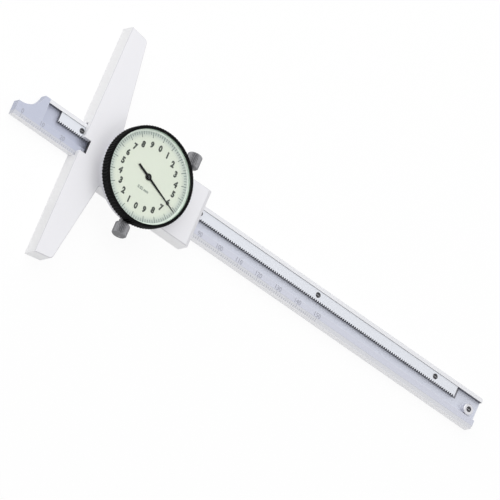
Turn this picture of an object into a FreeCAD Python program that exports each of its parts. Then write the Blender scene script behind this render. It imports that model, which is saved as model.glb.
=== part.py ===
# Dial depth gauge, 150 mm range: a T-shaped base with a beam that slides through it, a rack on the
# beam, and a geared pointer under a dial that turns with its bezel.
# Frame: X runs along the beam towards its tail, Y across it, Z up out of the dial.
# The origin is on the pointer's axis, in the plane of the back face. All lengths are millimetres.

import FreeCAD, Part
import math
import os
import Sketcher
from FreeCAD import Placement, Rotation, Vector

# Driving sizes, each written once
SIZES = {
    # base and slider, one piece
    "baseLength": 100.0,
    "bodyThickness": 7.0,
    "armEndDepth": 8.0,
    "armRootDepth": 14.0,
    "armEndSlant": 1.4,
    "armCornerRadius": 2.0,
    "rootCornerRadius": 1.0,
    "edgeBreak": 0.3,
    "sliderLength": 59.0,
    "sliderWidth": 24.8,
    "endBevelLength": 1.5,
    "endBevelDrop": 0.7,
    "dialOffset": 29.1,
    "notchDepth": 3.1,
    "notchLow": 4.85,
    "notchHigh": 0.85,
    # clearances
    "slideClearance": 0.05,
    "fitClearance": 0.03,
    "grooveClearance": 0.1,
    "endPlay": 0.1,
    "drillSpare": 0.2,
    "overcut": 1.0,
    # cover behind the beam
    "backPlateThickness": 1.2,
    "backPlateStart": 4.0,
    "backPlateLength": 50.0,
    "backPlateWidth": 22.0,
    "backPlateCorner": 2.0,
    "backScrewInset": 3.5,
    "backScrewSpread": 9.3,
    "backScrewLength": 3.4,
    # beam
    "beamLength": 233.3,
    "beamWidth": 13.6,
    "beamThickness": 3.6,
    "restProtrusion": 30.62,
    "tipArcRadius": 9.3,
    "tipArcInset": 0.65,
    "tipArcHeight": 8.25,
    "bevelWidth": 1.6,
    "bevelDrop": 0.35,
    "tailBreak": 0.5,
    "railBreak": 0.25,
    "recessStart": 12.2,
    "recessDepth": 1.7,
    "scaleBandWidth": 4.0,
    "topRailWidth": 1.7,
    # rack
    "rackStart": 18.8,
    "rackEndGap": 12.2,
    "rackThickness": 1.45,
    "rackPitch": 1.0,
    "rackPitchLine": 1.0,
    "rackScrewEnd": 10.85,
    "rackScrewLength": 2.9,
    # fasteners
    "screwHeadRadius": 1.1,
    "screwHeadHeight": 0.7,
    "screwShankRadius": 0.7,
    "screwSlotWidth": 0.35,
    "screwSlotDepth": 0.35,
    "slotShare": 0.6,
    "slotReach": 1.1,
    "stopCollarRadius": 2.2,
    "stopCollarRise": 0.7,
    "stopInset": 4.6,
    "stopDrop": 0.5,
    "stopScrewLength": 3.4,
    # gib and its set screws
    "gibThickness": 0.8,
    "gibHeight": 2.9,
    "gibLength": 47.0,
    "gibStart": 6.0,
    "gibScrewRadius": 1.0,
    "gibScrewFirst": 17.0,
    "gibScrewSpacing": 23.0,
    "gibScrewSink": 0.4,
    "gibScrewPoint": 0.6,
    "gibScrewTaper": 0.5,
    # thumb screws
    "knobRadius": 3.0,
    "knobBreak": 0.4,
    "knobNotchDepth": 0.28,
    "knurlSpare": 0.2,
    "lockOffset": 48.2,
    "lockShankRadius": 1.1,
    "lockCollarRadius": 1.45,
    "lockCollarLength": 1.2,
    "lockCollarGap": 0.2,
    "lockKnobStart": 17.3,
    "lockKnobLength": 5.35,
    "clampShankRadius": 0.8,
    "clampHeight": 8.2,
    "clampKnobGap": 0.8,
    "clampKnobLength": 4.8,
    "clampShoeWidth": 3.2,
    "clampShoeDrop": 0.3,
    # case of the movement
    "caseRadius": 18.75,
    "caseWall": 1.55,
    "caseHeight": 3.6,
    "caseFloorThickness": 0.8,
    "caseScrewInset": 7.2,
    "caseScrewSpread": 9.6,
    "caseScrewLength": 3.2,
    # plates of the movement
    "movementPlateThickness": 0.6,
    "movementPlateGap": 1.6,
    "pillarHeight": 1.6,
    "pillarRadius": 1.1,
    "pillarCircle": 10.5,
    "bridgeThickness": 0.5,
    "bridgeRadius": 12.2,
    "bridgeScrewHead": 0.9,
    "bridgeScrewHeadHeight": 0.3,
    "bridgeScrewShank": 0.5,
    "bridgeScrewLength": 1.3,
    # gears
    "gearModule": 0.2,
    "driveTeeth": 60,
    "centreTeeth": 12,
    "pinionTeeth": 10,
    "pressureAngle": 25.0,
    "addendumFactor": 0.85,
    "dedendumFactor": 1.1,
    "backlash": 0.03,
    "toothSpare": 0.2,
    "rackMouthSpare": 0.1,
    "gearThickness": 0.6,
    "gearLift": 0.25,
    "gearWindowRadius": 1.3,
    "gearWindowCircle": 3.4,
    "gearWindows": 4,
    # arbors and their bushes
    "lowerJournal": 0.6,
    "upperJournal": 0.45,
    "journalClearance": 0.03,
    "lowerBushRadius": 1.1,
    "upperBushRadius": 0.9,
    "pinionClearance": 0.2,
    "pinionLift": 0.15,
    "centrePinionSpare": 0.1,
    # hairspring
    "springStrip": 0.12,
    "springHeight": 0.3,
    "springInner": 1.1,
    "springGrowth": 0.36,
    "springTurns": 4,
    "springLift": 1.05,
    "studRadius": 0.35,
    # dial, pointer and crystal
    "dialGap": 0.45,
    "dialThickness": 0.3,
    "dialHole": 1.0,
    "spacerHeight": 0.9,
    "spacerWall": 0.5,
    "crystalThickness": 0.55,
    "pointerTipGap": 1.5,
    "pointerTail": 6.3,
    "pointerRoot": 0.5,
    "pointerPoint": 0.12,
    "pointerTailWidth": 0.45,
    "pointerThickness": 0.15,
    "pointerLift": 0.25,
    "hubRadius": 1.35,
    "hubNeck": 0.75,
    "hubHeight": 0.65,
    # bezel
    "bezelWall": 0.9,
    "lipReach": 0.4,
    "lipThickness": 0.4,
    "bezelBreak": 0.35,
    "skirtOverlap": 1.25,
    "knurlDepth": 0.35,
    "snapLift": 0.45,
    "snapHeight": 0.3,
    "snapReach": 0.2,
    "snapDepth": 0.35,
    "retainerHeight": 0.3,
    "ringSlit": 3.0,
}

KNOB_NOTCHES = 28
BEZEL_NOTCHES = 100
RACK_SCREWS = 4
PILLAR_ANGLES = (90, 235, 305)
NEAR = 0.01
SEAT = 0.1

# Places worked out from the sizes, in the order in which they build on each other
PLACES = {
    "faceX": "-sizes.dialOffset",
    "sliderEndX": "faceX + sizes.sliderLength",
    "halfBase": "sizes.baseLength / 2",
    "halfSlider": "sizes.sliderWidth / 2",
    "halfBeam": "sizes.beamWidth / 2",
    "plateStartX": "faceX + sizes.backPlateStart",
    "plateEndX": "plateStartX + sizes.backPlateLength",
    "beamBottom": "sizes.backPlateThickness + sizes.slideClearance",
    "beamTop": "beamBottom + sizes.beamThickness",
    "beamMiddle": "(beamBottom + beamTop) / 2",
    "channelTop": "beamTop + sizes.slideClearance",
    "channelLow": "-halfBeam - sizes.slideClearance",
    "gibLow": "halfBeam + sizes.slideClearance",
    "gibHigh": "gibLow + sizes.gibThickness",
    "channelHigh": "gibHigh + sizes.slideClearance",
    "tipX": "faceX - sizes.restProtrusion",
    "tailX": "tipX + sizes.beamLength",
    "recessFloor": "beamTop - sizes.recessDepth",
    "recessX": "tipX + sizes.recessStart",
    "recessLow": "-halfBeam + sizes.scaleBandWidth",
    "recessHigh": "halfBeam - sizes.topRailWidth",
    "rackX": "tipX + sizes.rackStart",
    "rackLength": "tailX - sizes.rackEndGap - rackX",
    "rackModule": "sizes.rackPitch / pi",
    "rackTipY": "sizes.rackPitchLine - sizes.addendumFactor * rackModule",
    "rackRootY": "sizes.rackPitchLine + sizes.dedendumFactor * rackModule",
    "rackHighY": "recessHigh - sizes.fitClearance",
    "rackTop": "recessFloor + sizes.rackThickness",
    "rackScrewX": "rackX + sizes.rackScrewEnd",
    "rackScrewSpacing": f"(rackLength - 2 * sizes.rackScrewEnd) / {RACK_SCREWS - 1}",
    "rackScrewY": "(rackRootY + rackHighY) / 2",
    "stopX": "tailX - sizes.stopInset",
    "stopTop": "beamTop + sizes.stopCollarRise",
    "pinionRadius": "rackModule * sizes.pinionTeeth / 2",
    "pinionTip": "pinionRadius + sizes.addendumFactor * rackModule",
    "pinionBore": "pinionTip + sizes.pinionClearance",
    "driveY": "sizes.rackPitchLine - pinionRadius",
    "gearDistance": "sizes.gearModule * (sizes.driveTeeth + sizes.centreTeeth) / 2",
    "driveX": "sqrt(gearDistance ^ 2 - driveY ^ 2)",
    "driveTip": "sizes.gearModule * (sizes.driveTeeth / 2 + sizes.addendumFactor)",
    "centreTip": "sizes.gearModule * (sizes.centreTeeth / 2 + sizes.addendumFactor)",
    "bodyTop": "sizes.bodyThickness",
    "caseFloorTop": "bodyTop + sizes.caseFloorThickness",
    "caseTop": "bodyTop + sizes.caseHeight",
    "caseInner": "sizes.caseRadius - sizes.caseWall",
    "caseScrewAcross": "caseInner - sizes.caseScrewInset",
    "movementPlateRadius": "caseInner - sizes.movementPlateGap",
    "plateTop": "caseFloorTop + sizes.movementPlateThickness",
    "gearBottom": "plateTop + sizes.gearLift",
    "gearTop": "gearBottom + sizes.gearThickness",
    "bridgeBottom": "plateTop + sizes.pillarHeight",
    "bridgeTop": "bridgeBottom + sizes.bridgeThickness",
    "dialBottom": "caseTop + sizes.dialGap",
    "dialTop": "dialBottom + sizes.dialThickness",
    "spacerTop": "dialTop + sizes.spacerHeight",
    "crystalTop": "spacerTop + sizes.crystalThickness",
    "bezelTop": "crystalTop + sizes.lipThickness",
    "bezelBore": "sizes.caseRadius + sizes.slideClearance",
    "glassRadius": "bezelBore - sizes.fitClearance",
    "bezelRadius": "bezelBore + sizes.bezelWall",
    "lipRadius": "bezelBore - sizes.lipReach",
    "clampKnobStart": "bezelRadius + sizes.clampKnobGap",
    "pointerTip": "lipRadius - sizes.pointerTipGap",
    "skirtBottom": "caseTop - sizes.skirtOverlap",
    "snapBottom": "skirtBottom + sizes.snapLift",
    "snapTop": "snapBottom + sizes.snapHeight",
    "snapInner": "sizes.caseRadius - sizes.snapDepth",
    "snapOuter": "sizes.caseRadius + sizes.snapReach",
    "snapGroove": "snapOuter + sizes.slideClearance",
    "pointerBottom": "dialTop + sizes.pointerLift",
    "lockX": "faceX + sizes.lockOffset",
    "gibScrewX": "faceX + sizes.gibScrewFirst",
    "gibScrewEnd": "halfSlider - sizes.gibScrewSink",
    "holeRadius": "sizes.screwShankRadius + sizes.fitClearance",
    "headHole": "sizes.screwHeadRadius + sizes.fitClearance",
    "springBottom": "plateTop + sizes.springLift",
    "springEnd": "sizes.springInner + 2 * sizes.springTurns * sizes.springGrowth / 2",
}

doc = FreeCAD.newDocument("depth_gauge")
sizes = doc.addObject("Spreadsheet::Sheet", "sizes")
places = doc.addObject("Spreadsheet::Sheet", "places")
NODES = []


# Both sheets hold the name in column A and its value, under that name, in column B
def fill_sheet(sheet, rows):
    for number, (alias, text) in enumerate(rows, start=1):
        sheet.set(f"A{number}", alias)
        sheet.set(f"B{number}", text)
        sheet.setAlias(f"B{number}", alias)
    doc.recompute()


def value_of(expression):
    return float(places.evalExpression(expression))


def new_body(label, at=("0", "0", "0"), turn=Rotation()):
    body = doc.addObject("PartDesign::Body", label)
    body.Label = label
    body.Placement = Placement(Vector(), turn)
    for axis, text in zip("xyz", at):
        body.setExpression(f"Placement.Base.{axis}", text)
    return body


def keep(node):
    NODES.append(node)
    return node


def new_sketch(body, name, role="XY_Plane", height="0"):
    sketch = body.newObject("Sketcher::SketchObject", name)
    origin = [feature for feature in body.Origin.OriginFeatures if feature.Role == role]
    sketch.AttachmentSupport = [(origin[0], "")]
    sketch.MapMode = "FlatFace"
    if height != "0":
        sketch.setExpression("AttachmentOffset.Base.z", height)
    return sketch


# Holds one point of a sketch by its two distances from the sketch's origin
def pin_point(sketch, geometry, point, across, along):
    for kind, axis, text in (("DistanceX", -2, across), ("DistanceY", -1, along)):
        if text == "0":
            sketch.addConstraint(Sketcher.Constraint("PointOnObject", geometry, point, axis))
            continue
        distance = value_of(text)
        number = sketch.addConstraint(Sketcher.Constraint(kind, -1, 1, geometry, point, distance))
        sketch.setExpression(f"Constraints[{number}]", text)


# Draws a closed outline through corners, each given as two expressions
def outline(sketch, corners):
    points = [Vector(value_of(across), value_of(along), 0) for across, along in corners]
    first = sketch.GeometryCount
    count = len(points)
    for number in range(count):
        end = points[(number + 1) % count]
        sketch.addGeometry(Part.LineSegment(points[number], end), False)
    for number in range(count):
        following = first + (number + 1) % count
        sketch.addConstraint(Sketcher.Constraint("Coincident", first + number, 2, following, 1))
    for number, (across, along) in enumerate(corners):
        pin_point(sketch, first + number, 1, across, along)


def rectangle(sketch, left, low, right, high):
    outline(sketch, [(left, low), (right, low), (right, high), (left, high)])


def circle(sketch, across, along, radius):
    centre = Vector(value_of(across), value_of(along), 0)
    ring = Part.Circle(centre, Vector(0, 0, 1), value_of(radius))
    number = sketch.addGeometry(ring, False)
    pin_point(sketch, number, 3, across, along)
    size = sketch.addConstraint(Sketcher.Constraint("Radius", number, value_of(radius)))
    sketch.setExpression(f"Constraints[{size}]", radius)


# A pad grows along the sketch's normal and a pocket cuts against it
def extrude(body, kind, name, sketch, length):
    feature = body.newObject(f"PartDesign::{kind}", name)
    feature.Profile = sketch
    feature.setExpression("Length", length)
    sketch.Visibility = False
    doc.recompute()
    return feature


def pad(body, name, sketch, length):
    return extrude(body, "Pad", name, sketch, length)


def pocket(body, name, sketch, length):
    return extrude(body, "Pocket", name, sketch, length)


def turn_profile(body, kind, name, sketch):
    feature = body.newObject(f"PartDesign::{kind}", name)
    feature.Profile = sketch
    feature.ReferenceAxis = (sketch, ["V_Axis"])
    feature.Angle = 360.0
    doc.recompute()
    return feature


# A turned piece: its profile holds radius and height, and its axis is the body's own Z
def turned(label, at, profile, turn=Rotation()):
    body = new_body(label, at, turn)
    sketch = new_sketch(body, f"{label}_profile", "XZ_Plane")
    outline(sketch, profile)
    turn_profile(body, "Revolution", f"{label}_turning", sketch)
    return body


def ring_profile(inner, outer, bottom, top):
    return [(inner, bottom), (outer, bottom), (outer, top), (inner, top)]


def around(body, name, feature, sketch, count):
    pattern = body.newObject("PartDesign::PolarPattern", name)
    pattern.Originals = [feature]
    pattern.Axis = (sketch, ["N_Axis"])
    pattern.Angle = 360.0
    pattern.Occurrences = count
    body.Tip = pattern
    doc.recompute()
    return pattern


def edges_where(feature, test):
    chosen = [f"Edge{number}" for number, edge in enumerate(feature.Shape.Edges, 1) if test(edge)]
    return (feature, chosen)


def dress(body, kind, name, base, size, property_name):
    feature = body.newObject(f"PartDesign::{kind}", name)
    feature.Base = base
    feature.setExpression(property_name, size)
    doc.recompute()
    return feature


def is_upright(edge, across, along):
    ends = [vertex.Point for vertex in edge.Vertexes]
    if len(ends) != 2 or abs(ends[0].z - ends[1].z) < NEAR:
        return False
    middle = (ends[0] + ends[1]) / 2
    return math.hypot(middle.x - across, abs(middle.y) - along) < NEAR


# Screws and other small pieces that repeat are one node of separate solids
def group(label, bodies):
    compound = doc.addObject("Part::Compound", label)
    compound.Label = label
    compound.Links = bodies
    doc.recompute()
    return compound


# A cheese-head screw that points down, with its slotted head's top at the height given
def screw(label, across, along, top, length, turn=Rotation(),
          head="sizes.screwHeadRadius", head_height="sizes.screwHeadHeight",
          shank="sizes.screwShankRadius"):
    body = turned(label, (across, along, top), [
        ("0", "0"),
        (head, "0"),
        (head, f"-{head_height}"),
        (shank, f"-{head_height}"),
        (shank, f"-{length}"),
        ("0", f"-{length}"),
    ], turn)
    slot = new_sketch(body, f"{label}_slot")
    rectangle(slot, f"-{head} * sizes.slotReach", "-sizes.screwSlotWidth / 2",
              f"{head} * sizes.slotReach", "sizes.screwSlotWidth / 2")
    pocket(body, f"{label}_slotting", slot,
           f"min(sizes.screwSlotDepth; {head_height} * sizes.slotShare)")
    return body


# Holes down from one level: centres as pairs of expressions, all of one radius
def holes(body, name, top, depth, radius, centres):
    sketch = new_sketch(body, f"{name}_sketch", height=top)
    for across, along in centres:
        circle(sketch, across, along, radius)
    return pocket(body, name, sketch, depth)


def involute(angle):
    return math.tan(angle) - angle


# The gap between two teeth, drawn on the +X side with involute flanks as arcs through three points
def tooth_gap(sketch, module, teeth):
    pressure = math.radians(SIZES["pressureAngle"])
    pitch_radius = module * teeth / 2
    base_radius = pitch_radius * math.cos(pressure)
    root_radius = pitch_radius - SIZES["dedendumFactor"] * module
    past_tip = pitch_radius + (SIZES["addendumFactor"] + SIZES["toothSpare"]) * module
    flank_start = max(base_radius, root_radius)
    half_tooth = (math.pi * module / 2 - SIZES["backlash"]) / (2 * pitch_radius)

    def flank(radius, side):
        rolled = involute(math.acos(min(1.0, base_radius / radius)))
        half_gap = math.pi / teeth - half_tooth - involute(pressure) + rolled
        return Vector(radius * math.cos(half_gap), side * radius * math.sin(half_gap), 0)

    middle = (flank_start + past_tip) / 2
    starts = {side: flank(flank_start, side) for side in (-1, 1)}
    roots = {side: Vector(starts[side]).normalize() * root_radius for side in (-1, 1)}
    drawn = [Part.Arc(starts[-1], flank(middle, -1), flank(past_tip, -1)),
             Part.Arc(flank(past_tip, -1), Vector(past_tip, 0, 0), flank(past_tip, 1)),
             Part.Arc(flank(past_tip, 1), flank(middle, 1), starts[1]),
             Part.LineSegment(roots[1], roots[-1])]
    if root_radius < base_radius:
        drawn += [Part.LineSegment(starts[1], roots[1]), Part.LineSegment(roots[-1], starts[-1])]
    for piece in drawn:
        number = sketch.addGeometry(piece, False)
        sketch.addConstraint(Sketcher.Constraint("Block", number))


def cut_teeth(body, name, module, teeth, top, depth):
    gap = new_sketch(body, f"{name}_gap", height=top)
    tooth_gap(gap, module, teeth)
    first = pocket(body, f"{name}_first", gap, depth)
    return around(body, f"{name}_teeth", first, gap, teeth)


# The V-shaped notches of a knurl round an axis, drawn at the foot of the knurled band
def knurl(body, name, role, height, radius, depth, length, count):
    notch = new_sketch(body, f"{name}_notch", role, height)
    outside = f"{radius} + {depth} * sizes.knurlSpare"
    half = f"{radius} * pi / {count} * (1 + sizes.knurlSpare)"
    outline(notch, [(f"{radius} - {depth}", "0"), (outside, f"-{half}"), (outside, half)])
    first = pocket(body, f"{name}_first", notch, length)
    return around(body, name, first, notch, count)


def make_base_frame():
    body = keep(new_body("base_frame"))
    plan = new_sketch(body, "base_plan")
    arm_end = "places.halfBase - sizes.armEndSlant"
    outline(plan, [
        ("places.faceX", "places.halfBase"),
        ("places.faceX", "-places.halfBase"),
        ("places.faceX + sizes.armEndDepth", f"-({arm_end})"),
        ("places.faceX + sizes.armRootDepth", "-places.halfSlider"),
        ("places.sliderEndX", "-places.halfSlider"),
        ("places.sliderEndX", "places.halfSlider"),
        ("places.faceX + sizes.armRootDepth", "places.halfSlider"),
        ("places.faceX + sizes.armEndDepth", arm_end),
    ])
    block = pad(body, "base_block", plan, "places.bodyTop")
    face_x = value_of("places.faceX")
    end_x = face_x + SIZES["armEndDepth"]
    end_y = value_of(arm_end)
    root_x = face_x + SIZES["armRootDepth"]
    root_y = value_of("places.halfSlider")
    ends = edges_where(block, lambda edge: is_upright(edge, end_x, end_y))
    rounded = dress(body, "Fillet", "arm_corners", ends, "sizes.armCornerRadius", "Radius")
    roots = edges_where(rounded, lambda edge: is_upright(edge, root_x, root_y))
    rounded = dress(body, "Fillet", "root_corners", roots, "sizes.rootCornerRadius", "Radius")
    top = value_of("places.bodyTop")
    rims = edges_where(rounded, lambda edge: abs(edge.BoundBox.ZMin - top) < NEAR)
    dress(body, "Chamfer", "front_edges", rims, "sizes.edgeBreak", "Size")

    bevel = new_sketch(body, "end_bevel_sketch", "XZ_Plane",
                       "places.halfSlider + sizes.overcut")
    outline(bevel, [
        ("places.sliderEndX - sizes.endBevelLength", "places.bodyTop"),
        ("places.sliderEndX", "places.bodyTop - sizes.endBevelDrop"),
        ("places.sliderEndX + sizes.overcut", "places.bodyTop - sizes.endBevelDrop"),
        ("places.sliderEndX + sizes.overcut", "places.bodyTop + sizes.overcut"),
        ("places.sliderEndX - sizes.endBevelLength", "places.bodyTop + sizes.overcut"),
    ])
    pocket(body, "end_bevel", bevel, "sizes.sliderWidth + 2 * sizes.overcut")

    channel = new_sketch(body, "channel_sketch", "YZ_Plane", "places.sliderEndX")
    rectangle(channel, "places.channelLow", "sizes.backPlateThickness",
              "places.channelHigh", "places.channelTop")
    pocket(body, "beam_channel", channel, "sizes.sliderLength")

    seat = new_sketch(body, "plate_seat_sketch", height="sizes.backPlateThickness")
    rectangle(seat, "places.plateStartX - sizes.fitClearance",
              "-sizes.backPlateWidth / 2 - sizes.fitClearance",
              "places.plateEndX + sizes.fitClearance",
              "sizes.backPlateWidth / 2 + sizes.fitClearance")
    sunk = pocket(body, "plate_seat", seat, "sizes.backPlateThickness")
    corner_x = [value_of(f"places.plate{side}X") for side in ("Start", "End")]
    corner_y = value_of("sizes.backPlateWidth / 2")
    corners = edges_where(sunk, lambda edge: edge.BoundBox.ZLength > NEAR
                          and abs(abs(edge.BoundBox.YMin) - corner_y) < SEAT
                          and min(abs(edge.BoundBox.XMin - x) for x in corner_x) < SEAT)
    dress(body, "Fillet", "seat_corners", corners,
          "sizes.backPlateCorner + sizes.fitClearance", "Radius")

    notch = new_sketch(body, "reading_notch_sketch", height="places.bodyTop")
    rectangle(notch, "places.faceX", "-sizes.notchLow",
              "places.faceX + sizes.notchDepth", "sizes.notchHigh")
    pocket(body, "reading_notch", notch, "places.bodyTop - places.channelTop")

    holes(body, "pinion_bore", "places.bodyTop", "places.bodyTop - places.channelTop",
          "places.pinionBore", [("places.driveX", "places.driveY")])
    holes(body, "case_screw_holes", "places.bodyTop",
          "sizes.caseScrewLength - sizes.caseFloorThickness - sizes.movementPlateThickness"
          " + sizes.drillSpare", "places.holeRadius", case_screw_centres())
    back_drill = "sizes.backScrewLength + sizes.drillSpare"
    holes(body, "back_screw_holes", back_drill, back_drill, "places.holeRadius",
          back_screw_centres())

    side = new_sketch(body, "side_holes_sketch", "XZ_Plane",
                      "-(places.halfSlider + sizes.overcut)")
    circle(side, "places.lockX", "places.beamMiddle", "sizes.lockShankRadius + sizes.slideClearance")
    for across in gib_screw_centres():
        circle(side, across, "places.beamMiddle", "sizes.gibScrewRadius + sizes.fitClearance")
    drill = pocket(body, "side_holes", side,
                   "places.halfSlider + sizes.overcut - places.gibHigh")
    drill.Reversed = True
    doc.recompute()


def case_screw_centres():
    return [(f"{side}places.caseScrewAcross", f"{end}sizes.caseScrewSpread")
            for side in ("-", "") for end in ("-", "")]


def back_screw_centres():
    columns = ("places.plateStartX + sizes.backScrewInset",
               "places.plateEndX - sizes.backScrewInset")
    return [(across, f"{side}sizes.backScrewSpread") for across in columns for side in ("-", "")]


def gib_screw_centres():
    return ["places.gibScrewX", "places.gibScrewX + sizes.gibScrewSpacing"]


def rack_screw_centres():
    return [f"places.rackScrewX + {number} * places.rackScrewSpacing"
            for number in range(RACK_SCREWS)]


def make_back_plate():
    body = keep(new_body("back_plate"))
    plan = new_sketch(body, "back_plate_plan")
    rectangle(plan, "places.plateStartX", "-sizes.backPlateWidth / 2",
              "places.plateEndX", "sizes.backPlateWidth / 2")
    block = pad(body, "back_plate_block", plan, "sizes.backPlateThickness")
    corners = edges_where(block, lambda edge: edge.BoundBox.ZLength > NEAR)
    dress(body, "Fillet", "back_plate_corners", corners, "sizes.backPlateCorner", "Radius")
    holes(body, "back_plate_holes", "sizes.backPlateThickness", "sizes.backPlateThickness",
          "places.holeRadius", back_screw_centres())
    holes(body, "back_plate_head_holes", "sizes.screwHeadHeight", "sizes.screwHeadHeight",
          "places.headHole", back_screw_centres())
    flipped = Rotation(Vector(1, 0, 0), 180)
    keep(group("back_plate_screws", [
        screw(f"back_plate_screw_{number}", across, along, "0", "sizes.backScrewLength", flipped)
        for number, (across, along) in enumerate(back_screw_centres(), 1)]))


def make_gib():
    body = keep(new_body("gib_strip"))
    plan = new_sketch(body, "gib_plan", height="places.beamMiddle - sizes.gibHeight / 2")
    rectangle(plan, "places.faceX + sizes.gibStart", "places.gibLow",
              "places.faceX + sizes.gibStart + sizes.gibLength", "places.gibHigh")
    pad(body, "gib_block", plan, "sizes.gibHeight")
    screws = []
    for number, across in enumerate(gib_screw_centres(), 1):
        label = f"gib_screw_{number}"
        piece = new_body(label, (across, "0", "places.beamMiddle"))
        profile = new_sketch(piece, f"{label}_profile")
        outline(profile, [
            ("0", "places.gibHigh"),
            ("sizes.gibScrewRadius * sizes.gibScrewPoint", "places.gibHigh"),
            ("sizes.gibScrewRadius", "places.gibHigh + sizes.gibScrewTaper"),
            ("sizes.gibScrewRadius", "places.gibScrewEnd"),
            ("0", "places.gibScrewEnd"),
        ])
        turn_profile(piece, "Revolution", f"{label}_turning", profile)
        slot = new_sketch(piece, f"{label}_slot", "XZ_Plane", "-places.gibScrewEnd")
        rectangle(slot, "-sizes.gibScrewRadius * sizes.slotReach", "-sizes.screwSlotWidth / 2",
                  "sizes.gibScrewRadius * sizes.slotReach", "sizes.screwSlotWidth / 2")
        slotting = pocket(piece, f"{label}_slotting", slot, "sizes.screwSlotDepth")
        slotting.Reversed = True
        doc.recompute()
        screws.append(piece)
    keep(group("gib_screws", screws))


def make_beam():
    body = keep(new_body("beam"))
    plan = new_sketch(body, "beam_plan", height="places.beamBottom")
    rectangle(plan, "places.tipX", "-places.halfBeam", "places.tailX", "places.halfBeam")
    bar = pad(body, "beam_bar", plan, "sizes.beamThickness")
    tail_x = value_of("places.tailX")
    tail = edges_where(bar, lambda edge: edge.BoundBox.XMin > tail_x - NEAR
                       and edge.BoundBox.ZLength > NEAR)
    cut = dress(body, "Chamfer", "beam_tail_corners", tail, "sizes.tailBreak", "Size")
    high_y = value_of("places.halfBeam")
    rail = edges_where(cut, lambda edge: edge.BoundBox.YMin > high_y - NEAR
                       and edge.BoundBox.ZLength < NEAR)
    dress(body, "Chamfer", "rail_edges", rail, "sizes.railBreak", "Size")

    hollow = new_sketch(body, "tip_arc_sketch", height="places.beamTop")
    circle(hollow, "places.tipX + sizes.tipArcInset", "sizes.tipArcHeight", "sizes.tipArcRadius")
    pocket(body, "tip_arc", hollow, "sizes.beamThickness")

    bevel = new_sketch(body, "beam_bevel_sketch", "YZ_Plane", "places.tailX")
    outline(bevel, [
        ("-places.halfBeam + sizes.bevelWidth", "places.beamTop"),
        ("-places.halfBeam", "places.beamTop - sizes.bevelDrop"),
        ("-places.halfBeam - sizes.overcut", "places.beamTop - sizes.bevelDrop"),
        ("-places.halfBeam - sizes.overcut", "places.beamTop + sizes.overcut"),
        ("-places.halfBeam + sizes.bevelWidth", "places.beamTop + sizes.overcut"),
    ])
    pocket(body, "beam_bevel", bevel, "sizes.beamLength")

    recess = new_sketch(body, "recess_sketch", height="places.beamTop")
    rectangle(recess, "places.recessX", "places.recessLow",
              "places.tailX + sizes.overcut", "places.recessHigh")
    pocket(body, "beam_recess", recess, "sizes.recessDepth")

    holes(body, "rack_screw_holes", "places.recessFloor",
          "sizes.rackScrewLength - sizes.rackThickness + sizes.drillSpare", "places.holeRadius",
          [(across, "places.rackScrewY") for across in rack_screw_centres()])
    holes(body, "stop_screw_hole", "places.recessFloor",
          "places.recessFloor - places.beamBottom", "places.holeRadius",
          [("places.stopX", "-sizes.stopDrop")])


def make_rack():
    body = keep(new_body("rack"))
    plan = new_sketch(body, "rack_plan", height="places.recessFloor")
    rectangle(plan, "places.rackX", "places.rackTipY",
              "places.rackX + places.rackLength", "places.rackHighY")
    pad(body, "rack_bar", plan, "sizes.rackThickness")
    holes(body, "rack_holes", "places.rackTop", "sizes.rackThickness", "places.holeRadius",
          [(across, "places.rackScrewY") for across in rack_screw_centres()])
    holes(body, "rack_head_holes", "places.rackTop", "sizes.screwHeadHeight", "places.headHole",
          [(across, "places.rackScrewY") for across in rack_screw_centres()])

    gap = new_sketch(body, "rack_gap", height="places.rackTop")
    middle = "places.rackX + sizes.rackPitch / 2"
    half = "(sizes.rackPitch / 2 + sizes.backlash) / 2"
    slope = "tan(sizes.pressureAngle * 1 deg)"
    foot = f"({half} - (places.rackRootY - sizes.rackPitchLine) * {slope})"
    mouth_y = "(places.rackTipY - sizes.rackMouthSpare)"
    mouth = f"({half} + (sizes.rackPitchLine - {mouth_y}) * {slope})"
    outline(gap, [
        (f"{middle} - {mouth}", mouth_y),
        (f"{middle} + {mouth}", mouth_y),
        (f"{middle} + {foot}", "places.rackRootY"),
        (f"{middle} - {foot}", "places.rackRootY"),
    ])
    first = pocket(body, "rack_first_gap", gap, "sizes.rackThickness")
    row = body.newObject("PartDesign::LinearPattern", "rack_teeth")
    row.Originals = [first]
    row.Direction = (gap, ["H_Axis"])
    row.Occurrences = int(value_of("places.rackLength") / SIZES["rackPitch"])
    row.setExpression("Length", f"sizes.rackPitch * {row.Occurrences - 1}")
    body.Tip = row
    doc.recompute()

    keep(group("rack_screws", [
        screw(f"rack_screw_{number}", across, "places.rackScrewY", "places.rackTop",
              "sizes.rackScrewLength")
        for number, across in enumerate(rack_screw_centres(), 1)]))


# A collar that stands up past the beam's face stops the beam from leaving the slider
def make_beam_stop():
    bore = "places.holeRadius"
    keep(turned("beam_stop_collar", ("places.stopX", "-sizes.stopDrop", "places.recessFloor"), [
        (bore, "0"),
        ("sizes.stopCollarRadius", "0"),
        ("sizes.stopCollarRadius", "places.stopTop - places.recessFloor - sizes.edgeBreak"),
        ("sizes.stopCollarRadius - sizes.edgeBreak", "places.stopTop - places.recessFloor"),
        ("places.headHole", "places.stopTop - places.recessFloor"),
        ("places.headHole", "places.stopTop - places.recessFloor - sizes.screwHeadHeight"),
        (bore, "places.stopTop - places.recessFloor - sizes.screwHeadHeight"),
    ]))
    keep(screw("beam_stop_screw", "places.stopX", "-sizes.stopDrop", "places.stopTop",
               "sizes.stopScrewLength"))


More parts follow.
